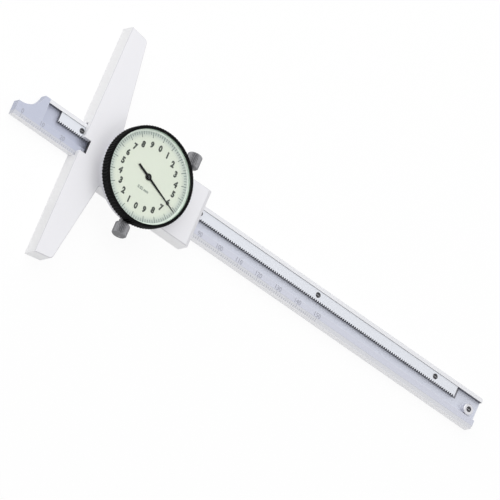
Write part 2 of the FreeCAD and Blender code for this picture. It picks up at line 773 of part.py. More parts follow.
# A knurled thumb screw whose axis is its body's Y
def thumb_screw(label, at, turn, profile, knob_start, knob_length):
    body = keep(new_body(label, at, turn))
    sketch = new_sketch(body, f"{label}_profile")
    start = knob_start
    end = f"({knob_start} + {knob_length})"
    outline(sketch, profile + [
        ("sizes.knobRadius - sizes.knobBreak", start),
        ("sizes.knobRadius", f"{start} + sizes.knobBreak"),
        ("sizes.knobRadius", f"{end} - sizes.knobBreak"),
        ("sizes.knobRadius - sizes.knobBreak", end),
        ("0", end),
    ])
    turn_profile(body, "Revolution", f"{label}_turning", sketch)
    knurl(body, f"{label}_knurl", "XZ_Plane", f"-{knob_start}", "sizes.knobRadius",
          "sizes.knobNotchDepth", knob_length, KNOB_NOTCHES)


def make_thumb_screws():
    tip = "places.gibHigh + sizes.slideClearance"
    shoulder = "places.halfSlider + sizes.lockCollarGap"
    thumb_screw("lock_screw", ("places.lockX", "0", "places.beamMiddle"), Rotation(), [
        ("0", tip),
        ("sizes.lockShankRadius", tip),
        ("sizes.lockShankRadius", shoulder),
        ("sizes.lockCollarRadius", shoulder),
        ("sizes.lockCollarRadius", f"{shoulder} + sizes.lockCollarLength"),
        ("sizes.lockShankRadius", f"{shoulder} + sizes.lockCollarLength"),
        ("sizes.lockShankRadius", "sizes.lockKnobStart"),
    ], "sizes.lockKnobStart", "sizes.lockKnobLength")
    half_turn = Rotation(Vector(0, 0, 1), 180)
    thumb_screw("bezel_clamp_screw", ("0", "0", "sizes.clampHeight"), half_turn, [
        ("0", "places.caseInner"),
        ("sizes.clampShankRadius", "places.caseInner"),
        ("sizes.clampShankRadius", "places.clampKnobStart"),
    ], "places.clampKnobStart", "sizes.clampKnobLength")


# A wedge under the bezel's rim that the clamp screw pulls in
def make_clamp_shoe():
    body = keep(new_body("bezel_clamp_shoe"))
    inner = "-(sizes.caseRadius + sizes.slideClearance)"
    outer = "-(places.clampKnobStart - 2 * sizes.slideClearance)"
    plan = new_sketch(body, "shoe_plan", height="places.bodyTop - sizes.clampShoeDrop")
    rectangle(plan, "-sizes.clampShoeWidth / 2", outer, "sizes.clampShoeWidth / 2", inner)
    pad(body, "shoe_block", plan,
        "places.skirtBottom - places.bodyTop + sizes.clampShoeDrop - sizes.slideClearance")
    hole = new_sketch(body, "shoe_hole_sketch", "XZ_Plane", f"-({outer})")
    circle(hole, "0", "sizes.clampHeight", "sizes.clampShankRadius + sizes.slideClearance")
    pocket(body, "shoe_hole", hole, "places.clampKnobStart - sizes.caseRadius")


def make_case():
    body = keep(turned("dial_case", ("0", "0", "0"), [
        ("0", "places.bodyTop"),
        ("sizes.caseRadius", "places.bodyTop"),
        ("sizes.caseRadius", "places.snapBottom"),
        ("places.snapInner - sizes.fitClearance", "places.snapBottom"),
        ("places.snapInner - sizes.fitClearance", "places.snapTop"),
        ("sizes.caseRadius", "places.snapTop"),
        ("sizes.caseRadius", "places.caseTop"),
        ("places.caseInner", "places.caseTop"),
        ("places.caseInner", "places.caseFloorTop"),
        ("0", "places.caseFloorTop"),
    ]))
    holes(body, "case_pinion_bore", "places.caseFloorTop", "sizes.caseFloorThickness",
          "places.pinionBore", [("places.driveX", "places.driveY")])
    holes(body, "case_floor_holes", "places.caseFloorTop", "sizes.caseFloorThickness",
          "places.holeRadius", case_screw_centres())
    side = new_sketch(body, "clamp_hole_sketch", "XZ_Plane", "sizes.caseRadius + sizes.overcut")
    circle(side, "0", "sizes.clampHeight", "sizes.clampShankRadius + sizes.slideClearance")
    pocket(body, "clamp_hole", side, "sizes.caseWall + 2 * sizes.overcut")

    snap = keep(turned("bezel_snap_ring", ("0", "0", "0"),
                       ring_profile("places.snapInner", "places.snapOuter",
                                    "places.snapBottom", "places.snapTop")))
    open_ring(snap, "places.snapTop", "sizes.snapHeight", "places.snapOuter")


# A slit through the +X side turns a full ring into a spring ring
def open_ring(body, top, height, outer):
    slit = new_sketch(body, f"{body.Label}_slit", height=top)
    rectangle(slit, f"{outer} - sizes.ringSlit", "-sizes.ringSlit / 2",
              f"{outer} + sizes.overcut", "sizes.ringSlit / 2")
    pocket(body, f"{body.Label}_opening", slit, height)


def pillar_centres():
    centres = []
    for angle in PILLAR_ANGLES:
        centres.append((f"sizes.pillarCircle * cos({angle} deg)",
                        f"sizes.pillarCircle * sin({angle} deg)"))
    return centres


def arbor_centres():
    return [("places.driveX", "places.driveY"), ("0", "0"), ("-places.driveX", "-places.driveY")]


def make_plates():
    lower = keep(new_body("movement_plate"))
    plan = new_sketch(lower, "movement_plate_plan", height="places.caseFloorTop")
    circle(plan, "0", "0", "places.movementPlateRadius")
    pad(lower, "movement_plate_disc", plan, "sizes.movementPlateThickness")
    holes(lower, "lower_bush_holes", "places.plateTop", "sizes.movementPlateThickness",
          "sizes.lowerBushRadius + sizes.fitClearance", arbor_centres())
    holes(lower, "plate_screw_holes", "places.plateTop", "sizes.movementPlateThickness",
          "places.holeRadius", case_screw_centres())

    upper = keep(new_body("bridge_plate"))
    plan = new_sketch(upper, "bridge_plan", height="places.bridgeBottom")
    circle(plan, "0", "0", "sizes.bridgeRadius")
    pad(upper, "bridge_disc", plan, "sizes.bridgeThickness")
    holes(upper, "upper_bush_holes", "places.bridgeTop", "sizes.bridgeThickness",
          "sizes.upperBushRadius + sizes.fitClearance", arbor_centres())
    holes(upper, "bridge_screw_holes", "places.bridgeTop", "sizes.bridgeThickness",
          "sizes.bridgeScrewShank + sizes.fitClearance", pillar_centres())
    holes(upper, "bridge_head_holes", "places.bridgeTop", "sizes.bridgeScrewHeadHeight",
          "sizes.bridgeScrewHead + sizes.fitClearance", pillar_centres())

    keep(group("movement_screws", [
        screw(f"movement_screw_{number}", across, along,
              "places.plateTop + sizes.screwHeadHeight",
              "(sizes.caseScrewLength + sizes.screwHeadHeight)")
        for number, (across, along) in enumerate(case_screw_centres(), 1)]))
    keep(group("movement_pillars", [
        turned(f"movement_pillar_{number}", (across, along, "0"),
               [("sizes.bridgeScrewShank + sizes.fitClearance", "places.plateTop"),
                ("sizes.pillarRadius", "places.plateTop"),
                ("sizes.pillarRadius", "places.bridgeBottom"),
                ("sizes.bridgeScrewShank + sizes.fitClearance", "places.bridgeBottom")])
        for number, (across, along) in enumerate(pillar_centres(), 1)]))
    keep(group("bridge_screws", [
        screw(f"bridge_screw_{number}", across, along, "places.bridgeTop",
              "sizes.bridgeScrewLength", head="sizes.bridgeScrewHead",
              head_height="sizes.bridgeScrewHeadHeight", shank="sizes.bridgeScrewShank")
        for number, (across, along) in enumerate(pillar_centres(), 1)]))


def make_bushes():
    bushes = []
    for number, (across, along) in enumerate(arbor_centres(), 1):
        bushes.append(turned(f"lower_bush_{number}", (across, along, "0"), ring_profile(
            "sizes.lowerJournal + sizes.journalClearance", "sizes.lowerBushRadius",
            "places.caseFloorTop", "places.plateTop")))
        bushes.append(turned(f"upper_bush_{number}", (across, along, "0"), ring_profile(
            "sizes.upperJournal + sizes.journalClearance", "sizes.upperBushRadius",
            "places.bridgeBottom", "places.bridgeTop")))
    keep(group("pivot_bushes", bushes))


def axis_turn(degrees):
    return Rotation(Vector(0, 0, 1), degrees)


# Each wheel has a tooth gap on its own +X side, so these turns put the train in mesh at rest
def mesh_angles():
    pitch = SIZES["rackPitch"]
    centre_line = math.degrees(math.atan2(value_of("places.driveY"), value_of("places.driveX")))
    gap_x = value_of("places.rackX") + pitch / 2
    lead = (gap_x - value_of("places.driveX")) % pitch
    roll = math.degrees(lead / value_of("places.pinionRadius"))
    pinion = 90 - roll + 180 / SIZES["pinionTeeth"]
    centre = centre_line + 180 / SIZES["centreTeeth"]
    return pinion, centre_line + 180, centre, centre_line


def make_gear(label, at, angle):
    body = keep(new_body(label, at, axis_turn(angle)))
    plan = new_sketch(body, f"{label}_plan", height="places.gearBottom")
    circle(plan, "0", "0", "places.driveTip")
    circle(plan, "0", "0", "sizes.lowerJournal + sizes.fitClearance / 2")
    pad(body, f"{label}_disc", plan, "sizes.gearThickness")
    window = new_sketch(body, f"{label}_window", height="places.gearTop")
    circle(window, "sizes.gearWindowCircle", "0", "sizes.gearWindowRadius")
    first = pocket(body, f"{label}_first_window", window, "sizes.gearThickness")
    around(body, f"{label}_windows", first, window, SIZES["gearWindows"])
    cut_teeth(body, label, SIZES["gearModule"], SIZES["driveTeeth"], "places.gearTop",
              "sizes.gearThickness")


# An arbor between its bushes: a thick lower journal, a thin upper one, and what it carries
def arbor(label, at, angle, bottom, shoulder, top):
    body = keep(new_body(label, at, axis_turn(angle)))
    profile = new_sketch(body, f"{label}_profile", "XZ_Plane")
    outline(profile, [
        ("0", bottom),
        ("sizes.lowerJournal", bottom),
        ("sizes.lowerJournal", shoulder),
        ("sizes.upperJournal", shoulder),
        ("sizes.upperJournal", top),
        ("0", top),
    ])
    turn_profile(body, "Revolution", f"{label}_turning", profile)
    return body


def make_movement():
    pinion_turn, drive_turn, centre_turn, take_up_turn = mesh_angles()
    drive_at = ("places.driveX", "places.driveY", "0")
    take_up_at = ("-places.driveX", "-places.driveY", "0")
    shoulder = "places.bridgeBottom - sizes.endPlay"

    pinion_bottom = "places.recessFloor + sizes.pinionLift"
    pinion_height = "(sizes.rackThickness - sizes.pinionLift)"
    rack_pinion = arbor("rack_pinion", drive_at, pinion_turn, pinion_bottom, shoulder,
                        "places.bridgeTop")
    disc = new_sketch(rack_pinion, "rack_pinion_disc", height=pinion_bottom)
    circle(disc, "0", "0", "places.pinionTip")
    pad(rack_pinion, "rack_pinion_blank", disc, pinion_height)
    cut_teeth(rack_pinion, "rack_pinion", value_of("places.rackModule"), SIZES["pinionTeeth"],
              "places.rackTop", pinion_height)
    make_gear("drive_gear", drive_at, drive_turn)

    centre = arbor("centre_arbor", ("0", "0", "0"), centre_turn, "places.caseFloorTop",
                   shoulder, "places.dialTop + sizes.hubHeight - sizes.endPlay")
    disc = new_sketch(centre, "centre_pinion_disc",
                      height="places.gearBottom - sizes.centrePinionSpare")
    circle(disc, "0", "0", "places.centreTip")
    pinion_length = "sizes.gearThickness + 2 * sizes.centrePinionSpare"
    pad(centre, "centre_pinion_blank", disc, pinion_length)
    cut_teeth(centre, "centre_pinion", SIZES["gearModule"], SIZES["centreTeeth"],
              "places.gearTop + sizes.centrePinionSpare", pinion_length)

    arbor("take_up_arbor", take_up_at, 0, "places.caseFloorTop", shoulder, "places.bridgeTop")
    make_gear("take_up_gear", take_up_at, take_up_turn)


# A flat spiral of half circles round two centres, so that each meets the next in line
def make_hairspring():
    strip = SIZES["springStrip"]
    growth = SIZES["springGrowth"]
    height = SIZES["springHeight"]

    def half_turn(number, offset):
        centre = Vector(0 if number % 2 == 0 else growth / 2, 0, 0)
        radius = SIZES["springInner"] + number * growth / 2 + offset
        side = 1 if number % 2 == 0 else -1
        along = Vector(side * radius, 0, 0)
        over = Vector(0, side * radius, 0)
        return Part.Arc(centre + along, centre + over, centre - along)

    count = 2 * SIZES["springTurns"]
    outer = [half_turn(number, strip / 2) for number in range(count)]
    inner = [half_turn(number, -strip / 2) for number in range(count)]
    caps = [Part.LineSegment(inner[0].StartPoint, outer[0].StartPoint),
            Part.LineSegment(inner[-1].EndPoint, outer[-1].EndPoint)]
    edges = [curve.toShape() for curve in outer + inner + caps]
    band = Part.Face(Part.Wire(Part.__sortEdges__(edges))).extrude(Vector(0, 0, height))
    spring = keep(doc.addObject("Part::Feature", "hairspring"))
    spring.Label = "hairspring"
    spring.Shape = band
    spring.Placement = Placement(Vector(-value_of("places.driveX"), -value_of("places.driveY"),
                                        value_of("places.springBottom")), Rotation())

    collet = ring_profile("sizes.lowerJournal + sizes.fitClearance / 2",
                          "sizes.springInner - sizes.springStrip / 2 - sizes.fitClearance",
                          "places.springBottom", "places.springBottom + sizes.springHeight")
    keep(turned("hairspring_collet", ("-places.driveX", "-places.driveY", "0"), collet))
    stud_x = "-places.driveX + places.springEnd + sizes.studRadius + sizes.springStrip"
    keep(turned("hairspring_stud", (stud_x, "-places.driveY - sizes.studRadius", "0"), [
        ("0", "places.springBottom - sizes.slideClearance"),
        ("sizes.studRadius", "places.springBottom - sizes.slideClearance"),
        ("sizes.studRadius", "places.bridgeBottom"),
        ("0", "places.bridgeBottom"),
    ]))


def make_dial():
    floor = ("0", "0", "0")
    keep(turned("dial_face", floor, ring_profile("sizes.dialHole", "places.glassRadius",
                                                 "places.dialBottom", "places.dialTop")))
    keep(turned("dial_spacer_ring", floor, ring_profile(
        "places.glassRadius - sizes.spacerWall", "places.glassRadius",
        "places.dialTop", "places.spacerTop")))
    keep(turned("crystal", floor, [
        ("0", "places.spacerTop"),
        ("places.glassRadius", "places.spacerTop"),
        ("places.glassRadius", "places.crystalTop"),
        ("0", "places.crystalTop"),
    ]))
    retainer = keep(turned("dial_retaining_ring", floor, ring_profile(
        "places.glassRadius - sizes.spacerWall", "places.snapOuter",
        "places.dialBottom - sizes.retainerHeight", "places.dialBottom")))
    open_ring(retainer, "places.dialBottom", "sizes.retainerHeight", "places.snapOuter")


def make_bezel():
    retainer_low = "places.dialBottom - sizes.retainerHeight - sizes.slideClearance"
    body = keep(turned("bezel_ring", ("0", "0", "0"), [
        ("places.bezelBore", "places.skirtBottom"),
        ("places.bezelRadius", "places.skirtBottom"),
        ("places.bezelRadius", "places.bezelTop - sizes.bezelBreak"),
        ("places.bezelRadius - sizes.bezelBreak", "places.bezelTop"),
        ("places.lipRadius", "places.bezelTop"),
        ("places.lipRadius", "places.crystalTop"),
        ("places.bezelBore", "places.crystalTop"),
        ("places.bezelBore", "places.dialBottom"),
        ("places.snapGroove", "places.dialBottom"),
        ("places.snapGroove", retainer_low),
        ("places.bezelBore", retainer_low),
        ("places.bezelBore", "places.snapTop + sizes.grooveClearance"),
        ("places.snapGroove", "places.snapTop + sizes.grooveClearance"),
        ("places.snapGroove", "places.snapBottom - sizes.grooveClearance"),
        ("places.bezelBore", "places.snapBottom - sizes.grooveClearance"),
    ]))
    knurl(body, "bezel_knurl", "XY_Plane", "places.bezelTop", "places.bezelRadius",
          "sizes.knurlDepth", "places.bezelTop - places.skirtBottom", BEZEL_NOTCHES)


# The hand shows the part of a turn that the beam has moved past the last whole turn
def make_pointer():
    travel = SIZES["rackPitch"] * SIZES["pinionTeeth"] * SIZES["centreTeeth"] / SIZES["driveTeeth"]
    reading = (SIZES["restProtrusion"] % travel) / travel
    hand = keep(new_body("pointer", ("0", "0", "0"), axis_turn(90 - 360 * reading)))
    blade = new_sketch(hand, "pointer_plan", height="places.pointerBottom")
    outline(blade, [
        ("-sizes.pointerTail", "-sizes.pointerTailWidth"),
        ("0", "-sizes.pointerRoot"),
        ("places.pointerTip", "-sizes.pointerPoint"),
        ("places.pointerTip", "sizes.pointerPoint"),
        ("0", "sizes.pointerRoot"),
        ("-sizes.pointerTail", "sizes.pointerTailWidth"),
    ])
    pad(hand, "pointer_blade", blade, "sizes.pointerThickness")
    boss = new_sketch(hand, "pointer_boss_sketch", height="places.pointerBottom")
    circle(boss, "0", "0", "sizes.hubRadius")
    pad(hand, "pointer_boss", boss, "sizes.pointerThickness")
    holes(hand, "pointer_hole", "places.pointerBottom + sizes.pointerThickness",
          "sizes.pointerThickness", "sizes.hubNeck + sizes.fitClearance / 2", [("0", "0")])
    bore = "sizes.upperJournal + sizes.fitClearance / 2"
    keep(turned("pointer_hub", ("0", "0", "0"), [
        (bore, "places.dialTop + sizes.slideClearance"),
        ("sizes.hubRadius", "places.dialTop + sizes.slideClearance"),
        ("sizes.hubRadius", "places.pointerBottom"),
        ("sizes.hubNeck", "places.pointerBottom"),
        ("sizes.hubNeck", "places.dialTop + sizes.hubHeight"),
        (bore, "places.dialTop + sizes.hubHeight"),
    ]))


# Nothing is written unless every object is sound and every cut took something away
def check_model():
    cuts = ("PartDesign::Pocket", "PartDesign::Groove")
    for item in doc.Objects:
        if "Invalid" in item.State or "Error" in item.State:
            raise RuntimeError(f"{item.Label} failed: {item.State}")
        if item.TypeId in cuts and item.Shape.Volume >= item.BaseFeature.Shape.Volume - 1e-6:
            raise RuntimeError(f"{item.Label} cuts nothing")
    for node in NODES:
        if node.Shape.isNull() or not node.Shape.isValid():
            raise RuntimeError(f"{node.Label} has no valid shape")


def write_parts():
    os.makedirs("parts", exist_ok=True)
    for node in NODES:
        node.Shape.exportStep(os.path.join("parts", f"{node.Label}.step"))
        print(f"{node.Label}: {len(node.Shape.Solids)} solid(s), {node.Shape.Volume:.2f} mm3")


fill_sheet(sizes, [(alias, str(number)) for alias, number in SIZES.items()])
fill_sheet(places, [(alias, f"={text}") for alias, text in PLACES.items()])
make_base_frame()
make_back_plate()
make_gib()
make_beam()
make_rack()
make_beam_stop()
make_thumb_screws()
make_clamp_shoe()
make_case()
make_plates()
make_bushes()
make_movement()
make_hairspring()
make_dial()
make_bezel()
make_pointer()
doc.recompute()
check_model()
write_parts()
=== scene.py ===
# Dial depth gauge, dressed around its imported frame.
# Metres; X along the beam to its tail, Z out of the dial.
import bpy
import numpy as np
from math import pi
from mathutils import Matrix, Vector


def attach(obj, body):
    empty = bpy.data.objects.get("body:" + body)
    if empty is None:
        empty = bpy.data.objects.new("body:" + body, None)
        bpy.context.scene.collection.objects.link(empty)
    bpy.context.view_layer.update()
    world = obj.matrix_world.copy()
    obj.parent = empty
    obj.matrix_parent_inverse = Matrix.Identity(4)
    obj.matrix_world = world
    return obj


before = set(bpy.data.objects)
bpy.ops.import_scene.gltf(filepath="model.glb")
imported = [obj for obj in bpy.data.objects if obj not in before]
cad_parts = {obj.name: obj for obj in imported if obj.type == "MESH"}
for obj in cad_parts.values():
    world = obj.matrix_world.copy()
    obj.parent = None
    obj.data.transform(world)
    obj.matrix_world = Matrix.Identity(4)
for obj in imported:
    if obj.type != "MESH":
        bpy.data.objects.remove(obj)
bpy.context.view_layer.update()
scene = bpy.context.scene
mm = 0.001
print("frame loaded:", len(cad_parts), "nodes")


# A shader node of one kind. An input is given by its label, with _ for a space, or by i and its number.
# A socket is linked to it, and anything else is set on it.
def addNode(tree, kind, **inputs):
    made = tree.nodes.new(kind)
    for name, value in inputs.items():
        socket = made.inputs[int(name[1:])] if name[0] == "i" and name[1:].isdigit() \
            else made.inputs[name.replace("_", " ")]
        if isinstance(value, bpy.types.NodeSocket):
            tree.links.new(value, socket)
        else:
            socket.default_value = value
    return made


# One arithmetic step on its sockets or numbers.
def mathNode(tree, operation, *values):
    made = addNode(tree, "ShaderNodeMath", **{f"i{n}": v for n, v in enumerate(values)})
    made.operation = operation
    return made.outputs[0]


# Takes value from low..high to start..end with soft ends.
def ramp(tree, value, low, high, start=0.0, end=1.0):
    made = addNode(tree, "ShaderNodeMapRange", Value=value, From_Min=low, From_Max=high,
                   To_Min=start, To_Max=end)
    made.interpolation_type = "SMOOTHSTEP"
    return made.outputs[0]


# The colour sockets of a mix node are its inputs 6 and 7 and its output 2.
def mixColour(tree, amount, first, second):
    made = addNode(tree, "ShaderNodeMix", i0=amount, i6=first, i7=second)
    made.data_type = "RGBA"
    return made.outputs[2]


# Where the surface is, in the object's own space.
def objectPlace(tree):
    return addNode(tree, "ShaderNodeTexCoord").outputs["Object"]


# Cloudy noise from 0 to 1, about its middle 0.5.
def noiseNode(tree, place, size, detail, roughness=0.5):
    return addNode(tree, "ShaderNodeTexNoise", Vector=place, Scale=size, Detail=detail,
                   Roughness=roughness).outputs[0]


# Fine height that tilts the normal.
def addBump(tree, surface, height, depth, strength):
    bump = addNode(tree, "ShaderNodeBump", Height=height, Distance=depth, Strength=strength)
    tree.links.new(bump.outputs[0], surface.inputs["Normal"])


# 1 for rays that end in the eye: straight ones, mirrored ones and those through the crystal.
def seenRay(tree):
    path = addNode(tree, "ShaderNodeLightPath").outputs
    return mathNode(tree, "MAXIMUM", path["Is Camera Ray"], mathNode(
        tree, "MAXIMUM", path["Is Glossy Ray"], path["Is Transmission Ray"]))


# An empty node group, with what it is given and what it gives out.
def newGroup(name, ins, outs):
    group = bpy.data.node_groups.new(name, "ShaderNodeTree")
    for direction, sockets in (("INPUT", ins), ("OUTPUT", outs)):
        for label, (kind, default) in sockets.items():
            socket = group.interface.new_socket(label, in_out=direction, socket_type="NodeSocket" + kind)
            if direction == "INPUT":
                socket.default_value = default
    return group, group.nodes.new("NodeGroupInput").outputs, group.nodes.new("NodeGroupOutput").inputs


wear = {"lineDetail": 3.0, "bandSize": 0.12, "bandDetail": 1.0, "smudgeDetail": 4.0, "smudgeGrit": 0.65,
        "smudgeFrom": 0.42, "smudgeTo": 0.72, "scratchTurn": (0.2, 0.1, 0.7),
        "scratchStretch": (60, 900, 60), "scratchDetail": 2.0, "scratchHalf": 0.004,
        "edgeSamples": 4, "edgeFrom": 0.985, "edgeTo": 0.86}


# Fine lines from grinding or brushing: noise stretched along one direction, with broad bands under it.
def makeGrain():
    group, given, out = newGroup(
        "grainLines",
        {"Stretch": ("Vector", (100, 3000, 3000)), "Contrast": ("Float", 0.5)},
        {"Lines": ("Float", 0), "Bands": ("Float", 0)})
    scaled = addNode(group, "ShaderNodeVectorMath", i0=objectPlace(group), i1=given["Stretch"])
    scaled.operation = "MULTIPLY"
    fine = noiseNode(group, scaled.outputs[0], 1.0, wear["lineDetail"])
    broad = noiseNode(group, scaled.outputs[0], wear["bandSize"], wear["bandDetail"])
    swing = mathNode(group, "MULTIPLY", mathNode(group, "SUBTRACT", fine, 0.5), given["Contrast"])
    group.links.new(mathNode(group, "ADD", swing, 0.5), out["Lines"])
    group.links.new(broad, out["Bands"])
    return group


# Faint marks of use: soft smudges, and thin scratches where a stretched noise is near its middle.
def makeHandling():
    group, given, out = newGroup(
        "handlingMarks", {"Size": ("Float", 120.0), "Amount": ("Float", 0.5)},
        {"Smudge": ("Float", 0), "Scratch": ("Float", 0)})
    place = objectPlace(group)
    soft = noiseNode(group, place, given["Size"], wear["smudgeDetail"], wear["smudgeGrit"])
    smudge = ramp(group, soft, wear["smudgeFrom"], wear["smudgeTo"])
    group.links.new(mathNode(group, "MULTIPLY", smudge, given["Amount"]), out["Smudge"])
    turned = addNode(group, "ShaderNodeMapping", Vector=place, Rotation=wear["scratchTurn"],
                     Scale=wear["scratchStretch"])
    line = noiseNode(group, turned.outputs[0], 1.0, wear["scratchDetail"])
    near = mathNode(group, "ABSOLUTE", mathNode(group, "SUBTRACT", line, 0.5))
    thin = ramp(group, near, wear["scratchHalf"], 0.0)
    amount = mathNode(group, "MULTIPLY", soft, given["Amount"])
    group.links.new(mathNode(group, "MULTIPLY", thin, amount), out["Scratch"])
    return group


# A mask that is 1 on sharp edges: where a rounded normal leaves the true one.
def makeEdges():
    group, given, out = newGroup(
        "edgeShine", {"Width": ("Float", 0.0002)}, {"Edge": ("Float", 0)})
    rounded = addNode(group, "ShaderNodeBevel", Radius=given["Width"])
    rounded.samples = wear["edgeSamples"]
    true = addNode(group, "ShaderNodeNewGeometry").outputs["Normal"]
    dot = addNode(group, "ShaderNodeVectorMath", i0=rounded.outputs[0], i1=true)
    dot.operation = "DOT_PRODUCT"
    group.links.new(ramp(group, dot.outputs["Value"], wear["edgeFrom"], wear["edgeTo"]), out["Edge"])
    return group


grainGroup, handlingGroup, edgeGroup = makeGrain(), makeHandling(), makeEdges()


# A group used in one material, with its own values.
def useGroup(tree, group, **values):
    made = tree.nodes.new("ShaderNodeGroup")
    made.node_tree = group
    for name, value in values.items():
        made.inputs[name].default_value = value
    return made.outputs


# A material with its node tree and its surface node.
def newMaterial(name):
    material = bpy.data.materials.new(name)
    material.use_nodes = True
    tree = material.node_tree
    return material, tree, tree.nodes["Principled BSDF"]


# A metal: grain lines in its colour, roughness and height, smudges in its roughness, and edges painted
# brighter, partly as wear and partly as a painted highlight.
# Where colour is given, colour(tree) makes its base colour in place of the plain one.
def metalFinish(name, look, colour=None):
    material, tree, surface = newMaterial(name)
    grain = useGroup(tree, grainGroup, Stretch=look["grain"], Contrast=look["contrast"])
    marks = useGroup(tree, handlingGroup, Size=look["smudgeSize"], Amount=look["smudge"])
    edge = useGroup(tree, edgeGroup, Width=look["edgeWidth"])["Edge"]
    base = colour(tree) if colour else look["colour"]
    darker = [c * (1 - look["streak"]) for c in look["colour"][:3]] + [1]
    streaked = mixColour(tree, mathNode(tree, "MULTIPLY", grain["Lines"], look["streak"]), base, darker)
    scratched = mixColour(tree, marks["Scratch"], streaked, look["edgeColour"])
    # bright edges: partly wear, partly a painted highlight
    worn = mathNode(tree, "MULTIPLY", edge, look["edgeShare"])
    tree.links.new(mixColour(tree, worn, scratched, look["edgeColour"]), surface.inputs["Base Color"])
    rough = mathNode(tree, "MULTIPLY_ADD", grain["Lines"], look["roughSwing"],
                     look["roughness"] - look["roughSwing"] / 2)
    rough = mathNode(tree, "MULTIPLY_ADD", marks["Smudge"], look["smudgeRough"], rough)
    rough = mathNode(tree, "MULTIPLY_ADD", grain["Bands"], look["bandRough"], rough)
    tree.links.new(rough, surface.inputs["Roughness"])
    addBump(tree, surface, grain["Lines"], look["depth"], look["bump"])
    surface.inputs["Metallic"].default_value = look["metallic"]
    surface.inputs["Specular IOR Level"].default_value = look["gloss"]
    return material


steelLook = {
    "colour": (0.80, 0.80, 0.84, 1), "metallic": 0.75, "roughness": 0.42, "roughSwing": 0.10,
    "grain": (2600, 160, 2600), "contrast": 0.9, "streak": 0.10, "bandRough": 0.06,
    "depth": 0.004 * mm, "bump": 0.6, "smudgeSize": 90.0, "smudge": 0.35, "smudgeRough": 0.10,
    "gloss": 0.5, "edgeWidth": 0.22 * mm, "edgeShare": 0.55, "edgeColour": (0.93, 0.93, 0.95, 1),
}


# The steel's look with some of its values changed or added.
def looking(**changes):
    return {**steelLook, **changes}


# How far a surface faces along one of the object's axes, from -1 to 1.
def facing(tree, axis):
    normal = addNode(tree, "ShaderNodeTexCoord").outputs["Normal"]
    return addNode(tree, "ShaderNodeSeparateXYZ", Vector=normal).outputs[axis]


# Beam: two bands, with a bluer recess floor between them and a bevel under the marks
beamLook = looking(
    colour=(0.73, 0.74, 0.78, 1), grain=(120, 3200, 3200), roughness=0.52, streak=0.18, metallic=0.45,
    floorColour=(0.675, 0.70, 0.79, 1), scaleColour=(0.64, 0.655, 0.745, 1),
    railColour=(0.84, 0.843, 0.87, 1), tipColour=(0.54, 0.568, 0.685, 1),
    bevelColour=(0.687, 0.694, 0.73, 1), lineColour=(0.55, 0.56, 0.62, 1),
    floorTop=3.4 * mm, scaleHigh=-2.8 * mm, railLow=5.1 * mm, bevelHigh=-5.2 * mm, tipEnd=-47.52 * mm,
    agedFrom=25 * mm, agedTo=-25 * mm, bevelAge=0.3, lineHalf=0.16 * mm, soft=0.05 * mm,
    wallColour=(0.11, 0.11, 0.13, 1), wallFrom=-0.4, wallTo=-0.7, wallStart=4.1 * mm,
    wallFull=4.6 * mm, sideColour=(0.96, 0.96, 0.98, 1), sideStart=-6.4 * mm, sideFull=-6.6 * mm,
    oilColour=(0.20, 0.20, 0.23, 1), oilStart=161.4 * mm, oilEnd=162.7 * mm, oilFade=163.1 * mm,
    oilLow=0.75 * mm)


# Masks by place pick each band's colour; age, a painted shadow, painted shade and painted light go on
# top.
def beamColours(tree):
    along, across, up = addNode(tree, "ShaderNodeSeparateXYZ", Vector=objectPlace(tree)).outputs
    soft = beamLook["soft"]
    inBand = ramp(tree, across, beamLook["scaleHigh"] - soft, beamLook["scaleHigh"])
    belowRail = ramp(tree, across, beamLook["railLow"] + soft, beamLook["railLow"])
    low = ramp(tree, up, beamLook["floorTop"] + soft, beamLook["floorTop"])
    tip = ramp(tree, along, beamLook["tipEnd"] + soft, beamLook["tipEnd"])
    onFloor = mathNode(tree, "MULTIPLY", low, mathNode(tree, "MULTIPLY", inBand, belowRail))
    bands = mixColour(tree, inBand, beamLook["scaleColour"], beamLook["railColour"])
    bevelFace = ramp(tree, across, beamLook["bevelHigh"] + soft, beamLook["bevelHigh"] - soft)
    bands = mixColour(tree, bevelFace, bands, beamLook["bevelColour"])
    fromEdge = mathNode(tree, "ABSOLUTE", mathNode(tree, "SUBTRACT", across, beamLook["bevelHigh"]))
    onLine = ramp(tree, fromEdge, beamLook["lineHalf"], 0.0)
    bands = mixColour(tree, onLine, bands, beamLook["lineColour"])
    plain = mixColour(tree, onFloor, bands, beamLook["floorColour"])
    # the end that is out most of the time has aged to a bluer grey, all but its rail
    aged = ramp(tree, along, beamLook["agedFrom"], beamLook["agedTo"])
    aged = mathNode(tree, "MULTIPLY", aged, mathNode(tree, "MAXIMUM", belowRail, tip))
    aged = mathNode(tree, "MULTIPLY", aged, ramp(tree, bevelFace, 0.0, 1.0, 1.0, beamLook["bevelAge"]))
    plain = mixColour(tree, aged, plain, beamLook["tipColour"])
    # painted shadow on the floor past the rack's end and painted shade on the wall under the rail; the
    # outer side gets painted light
    oil = mathNode(tree, "MULTIPLY", ramp(tree, along, beamLook["oilStart"] - soft, beamLook["oilStart"]),
                   ramp(tree, along, beamLook["oilFade"], beamLook["oilEnd"]))
    oil = mathNode(tree, "MULTIPLY", mathNode(tree, "MULTIPLY", oil, onFloor), ramp(
        tree, across, beamLook["oilLow"] - soft, beamLook["oilLow"]))
    plain = mixColour(tree, oil, plain, beamLook["oilColour"])
    upright = ramp(tree, facing(tree, 1), beamLook["wallFrom"], beamLook["wallTo"])
    # painted shade on the wall under the rail, where the rail's shadow falls
    wall = mathNode(tree, "MULTIPLY", upright, ramp(
        tree, across, beamLook["wallStart"], beamLook["wallFull"]))
    # painted light: the outer side facing −Y is made nearly white, brighter than its lighting gives
    side = mathNode(tree, "MULTIPLY", upright, ramp(
        tree, across, beamLook["sideStart"], beamLook["sideFull"]))
    plain = mixColour(tree, side, plain, beamLook["sideColour"])
    return mixColour(tree, wall, plain, beamLook["wallColour"])


